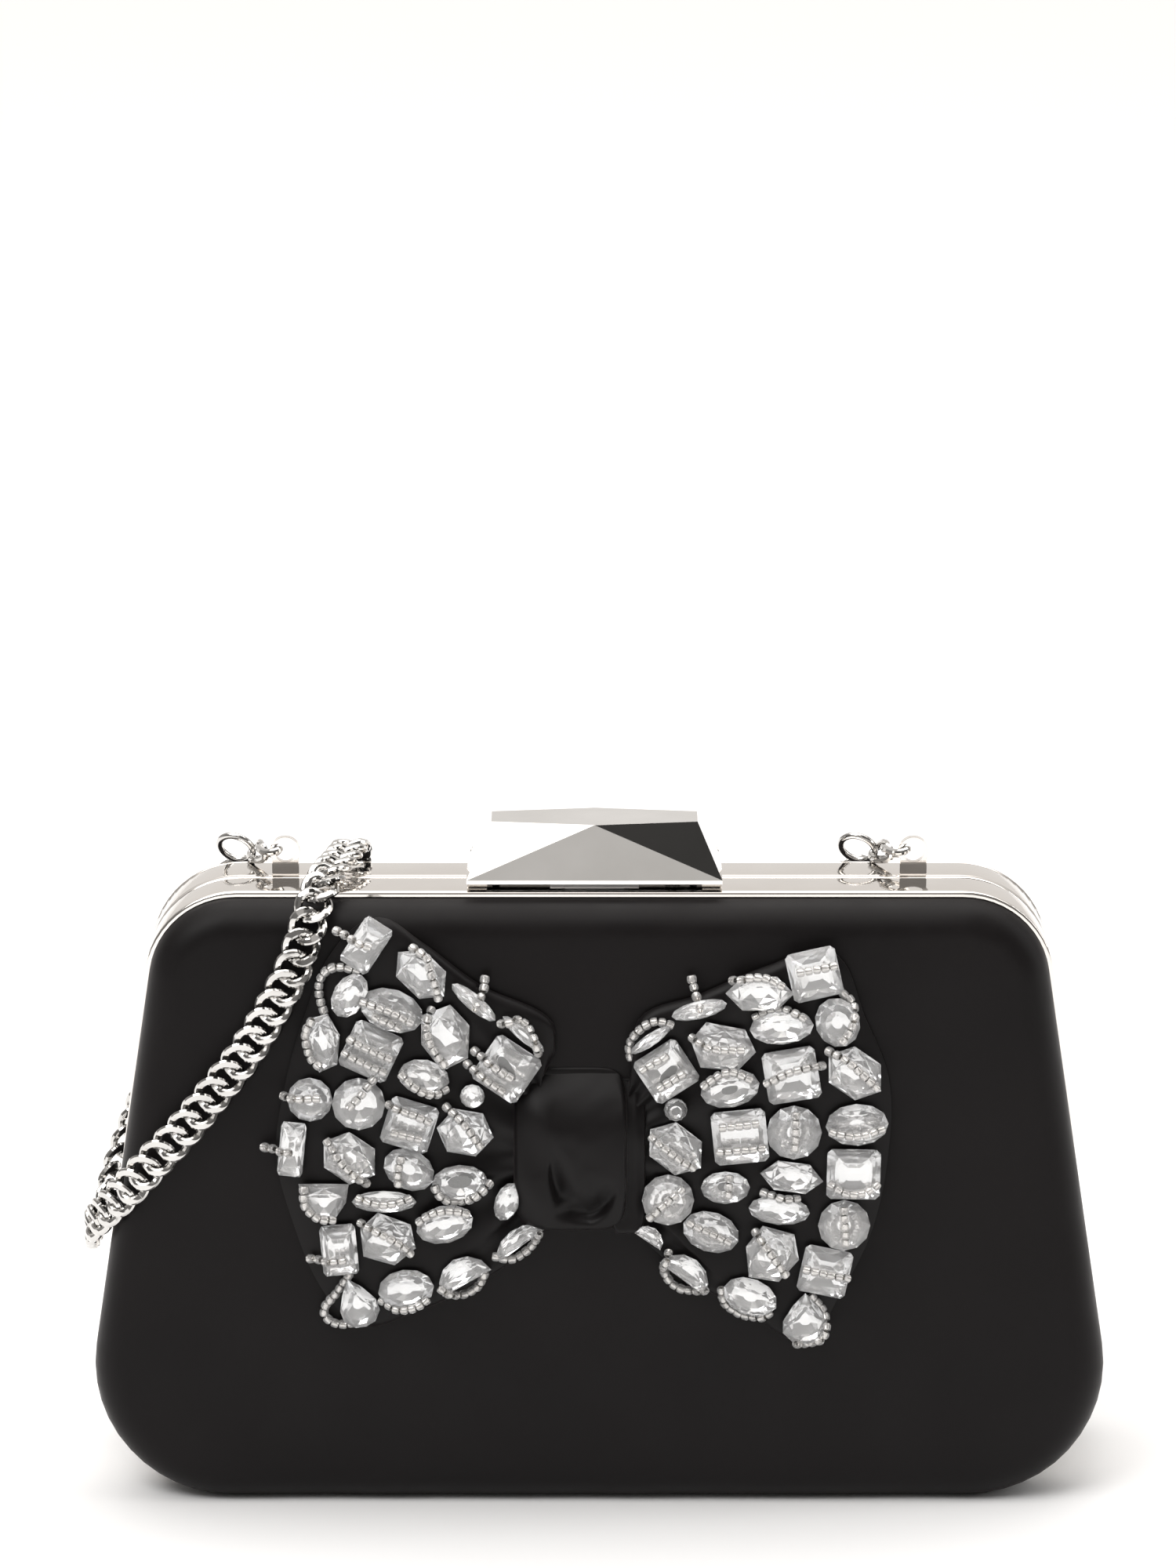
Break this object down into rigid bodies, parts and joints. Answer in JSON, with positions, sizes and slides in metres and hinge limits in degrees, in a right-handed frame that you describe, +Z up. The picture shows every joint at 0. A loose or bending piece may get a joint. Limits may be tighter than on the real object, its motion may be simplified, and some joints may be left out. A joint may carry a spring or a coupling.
{
  "type": "evening bag",
  "caption": "Hard box clutch with a metal frame that opens on a bottom hinge, a tilting bar clasp, a jewelled satin bow and a flat chain strap.",
  "frame": {"origin": "on the standing surface, under the centre of the bag's box without its chain strap", "axes": "+X along the bag to its right as seen from the front, -Y out of the front with the bow, +Z up"},
  "size_m": [0.2119, 0.1216, 0.1408],
  "materials": {
    "satin": "black satin over thin wadding, soft sheen",
    "frame_metal": "polished nickel-plated steel strip",
    "clasp_metal": "polished nickel-plated, flat facets",
    "shell": "stiff moulded board, not seen when finished",
    "lining": "black satin lining over thin board",
    "hinge_steel": "bright steel",
    "stone": "clear faceted acrylic with a foil back",
    "bead": "clear silver-lined seed beads",
    "chain_metal": "polished, flattened curb links",
    "tie": "black woven tape"
  },
  "bodies": {
    "rear_half": {"rear_frame": "frame_metal", "rear_shell": "shell", "rear_cover": "satin", "rear_lining": "lining", "chain_lugs": "frame_metal", "clasp_bracket": "hinge_steel", "bracket_rivets": "hinge_steel", "rear_hinge_leaf": "hinge_steel", "rear_hinge_rivets": "hinge_steel", "hinge_pin": "hinge_steel", "strap_end_links": "chain_metal", "strap_end_rings": "chain_metal", "strap_drape": "chain_metal", "strap_drop": "chain_metal", "strap_rise": "chain_metal", "strap_hank": "chain_metal", "hank_tie": "tie"},
    "front_half": {"front_frame": "frame_metal", "front_shell": "shell", "front_cover": "satin", "front_lining": "lining", "striker_spring": "hinge_steel", "striker_rivets": "hinge_steel", "front_hinge_leaf": "hinge_steel", "front_hinge_rivets": "hinge_steel", "bow_left_wing": "satin", "bow_right_wing": "satin", "bow_knot": "satin", "bow_knot_fold": "satin", "stones_square": "stone", "stones_round": "stone", "stones_oval": "stone", "stones_hex": "stone", "stones_shield": "stone", "stones_rect": "stone", "stones_half": "stone", "stones_drop": "stone", "bead_strands_left": "bead", "bead_strands_right": "bead"},
    "clasp": {"clasp_bar": "clasp_metal", "clasp_catch": "hinge_steel", "clasp_pin": "hinge_steel", "clasp_spring": "hinge_steel"}
  },
  "joints": [
    {"name": "front_open", "type": "hinge", "parent": "rear_half", "child": "front_half", "pos_m": [0, 0.00355, 0.0016], "axis": [1, 0, 0], "range_deg": [0, 65], "deforming": ["strap_drape"]},
    {"name": "clasp_tilt", "type": "hinge", "parent": "rear_half", "child": "clasp", "pos_m": [-0.001, 0.01015, 0.1317], "axis": [-1, 0, 0], "range_deg": [0, 12], "stiffness_Nm_per_rad": 0.02, "springref_deg": -11.46, "deforming": ["striker_spring", "clasp_spring"]}
  ]
}
